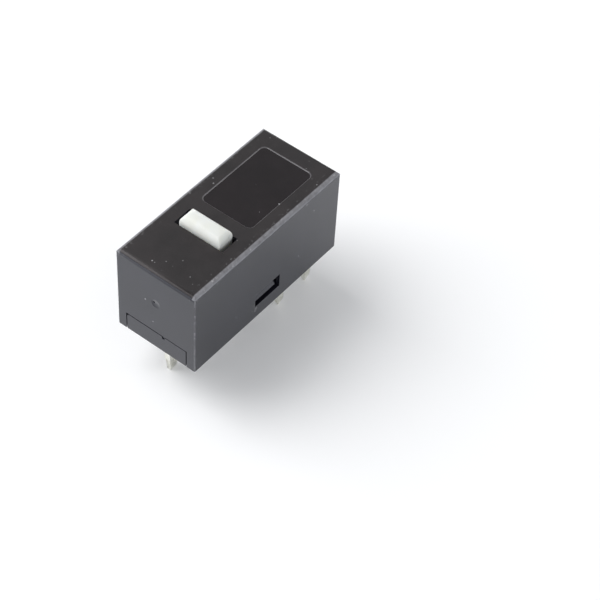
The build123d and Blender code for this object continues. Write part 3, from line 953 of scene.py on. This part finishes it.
# %% [markdown]
# ## Floor
# The switch stands on a plain pale tabletop. The floor is lifted to white for the camera and for
# reflections only, and more so far away, so it lights the switch no more than a real table would and the
# switch's shadow stays. From below the tabletop is clear, to show the underside.

# %% Floor
FLOOR_SIZE = 2.0
TABLE = {"Base Color": (0.88, 0.88, 0.885, 1), "Roughness": 0.28, "Specular IOR Level": 0.25}

bpy.ops.object.select_all(action="DESELECT")
bpy.ops.mesh.primitive_plane_add(size=FLOOR_SIZE, location=(0, 0, leg_tip * MM))
floor = bpy.context.object
floor.name = "tabletop"
floor_finish = bpy.data.materials.new("pale_table")
floor_finish.use_nodes = True
table = Wiring(floor_finish.node_tree)
shader = table.nodes["Principled BSDF"]
for key, value in TABLE.items():
    shader.inputs[key].default_value = value
print("pale table", FLOOR_SIZE, "m across")

# %% Lift and clear underside
NEAR_LIFT, FAR_LIFT = 0.07, 0.8
LIFT_START, LIFT_END = 0.025, 0.15  # metres from the switch

rays = table.add("ShaderNodeLightPath").outputs
seen = table.math("MAXIMUM", rays["Is Camera Ray"], rays["Is Glossy Ray"])
seen = table.math("MAXIMUM", seen, rays["Is Transmission Ray"])
place = table.add("ShaderNodeTexCoord").outputs["Object"]
reach = table.add("ShaderNodeVectorMath", {0: place}, operation="LENGTH").outputs["Value"]
ramp = table.fit(reach, LIFT_START, LIFT_END, NEAR_LIFT, FAR_LIFT, interpolation_type="SMOOTHSTEP")
lift = table.add("ShaderNodeEmission", {"Strength": table.math("MULTIPLY", seen, ramp)}).outputs["Emission"]
above = table.add("ShaderNodeAddShader", {0: shader.outputs["BSDF"], 1: lift}).outputs["Shader"]
below = table.add("ShaderNodeBsdfTransparent").outputs["BSDF"]
back = table.add("ShaderNodeNewGeometry").outputs["Backfacing"]
one_sided = table.add("ShaderNodeMixShader", {"Fac": back, 1: above, 2: below})
table.plug(table.nodes["Material Output"].inputs["Surface"], one_sided.outputs["Shader"])
floor.data.materials.append(floor_finish)
print("floor at", round(leg_tip, 2), "mm")

# %% [markdown]
# ## Room
# The light of a white room comes mostly from the side, so the surroundings fade from bright near the
# horizon to dim overhead. That keeps the top darker than the sides. The camera itself never sees the room
# darker than white, so the background stays plain.

# %% Room
HORIZON_LEVEL, ZENITH_LEVEL = 1.28, 0.34
FADE_START, FADE_END = 0.15, 0.75  # the height of the fade, as a share of the way up
ROOM_TINT = (0.955, 0.975, 1.0, 1)

world = bpy.data.worlds.new("soft_room")
bpy.context.scene.world = world
world.use_nodes = True
room = Wiring(world.node_tree)
direction = room.add("ShaderNodeTexCoord").outputs["Generated"]
height = room.add("ShaderNodeSeparateXYZ", {"Vector": direction}).outputs["Z"]
fade = room.fit(height, FADE_START, FADE_END, HORIZON_LEVEL, ZENITH_LEVEL)
seen = room.add("ShaderNodeLightPath").outputs["Is Camera Ray"]
background = room.nodes["Background"]
background.inputs["Color"].default_value = ROOM_TINT
room.plug(background.inputs["Strength"], room.math("MAXIMUM", fade, seen))
print("room fades from", HORIZON_LEVEL, "to", ZENITH_LEVEL, "overhead")

# %% [markdown]
# ## Lamps
# A large soft box stands behind on the left and gives the soft shadow to the right. A low strip stands in
# front on the right: it adds little light, and is there for the bright line along the rounded top edge.

# %% Lamps


def soft_lamp(name, place, size, size_y, power):
    """A rectangular soft box that looks at the switch, in metres and watts."""
    lamp = bpy.data.lights.new(name, "AREA")
    lamp.shape, lamp.size, lamp.size_y, lamp.energy = "RECTANGLE", size, size_y, power
    holder = bpy.data.objects.new(name, lamp)
    bpy.context.scene.collection.objects.link(holder)
    holder.location = place
    holder.rotation_euler = (-Vector(place)).to_track_quat("-Z", "Y").to_euler()


soft_lamp("key", (-0.085, 0.17, 0.24), size=0.26, size_y=0.26, power=0.86)
soft_lamp("edge_strip", (0.165, -0.225, 0.117), size=0.12, size_y=0.06, power=0.09)
print("two lamps set")

# %% [markdown]
# ## Camera
# A long lens from a short way off and well above shows the top, one end and one long side at once, with
# little narrowing. The camera is placed from the point that it aims at, its distance and its angles, which
# are easier to judge than its own position.

# %% Camera
AIM = Vector((1.67, -3.98, 0)) * MM
DISTANCE, HEADING, ELEVATION, ROLL = 116.6 * MM, radians(35.76), radians(48.66), radians(3.66)
LENS_MM, SENSOR_MM = 120.6, 36.0

forward = Vector((cos(ELEVATION) * cos(HEADING), cos(ELEVATION) * sin(HEADING), -sin(ELEVATION)))
camera = bpy.data.cameras.new("camera")
camera.lens, camera.sensor_width = LENS_MM, SENSOR_MM
camera.clip_start, camera.clip_end = 0.001, 10
view = bpy.data.objects.new("camera", camera)
bpy.context.scene.collection.objects.link(view)
turn = forward.to_track_quat("-Z", "Y").to_matrix().to_4x4() @ Matrix.Rotation(ROLL, 4, "Z")
view.matrix_world = Matrix.Translation(AIM - DISTANCE * forward) @ turn
bpy.context.scene.camera = view
bpy.context.scene.view_settings.view_transform = "Standard"
print("camera at", [round(v / MM, 1) for v in view.location])

# %% [markdown]
# ## The size
# The skin has to fill the same box as the imported model, because other makers will fit their parts to it.

print("skin built")
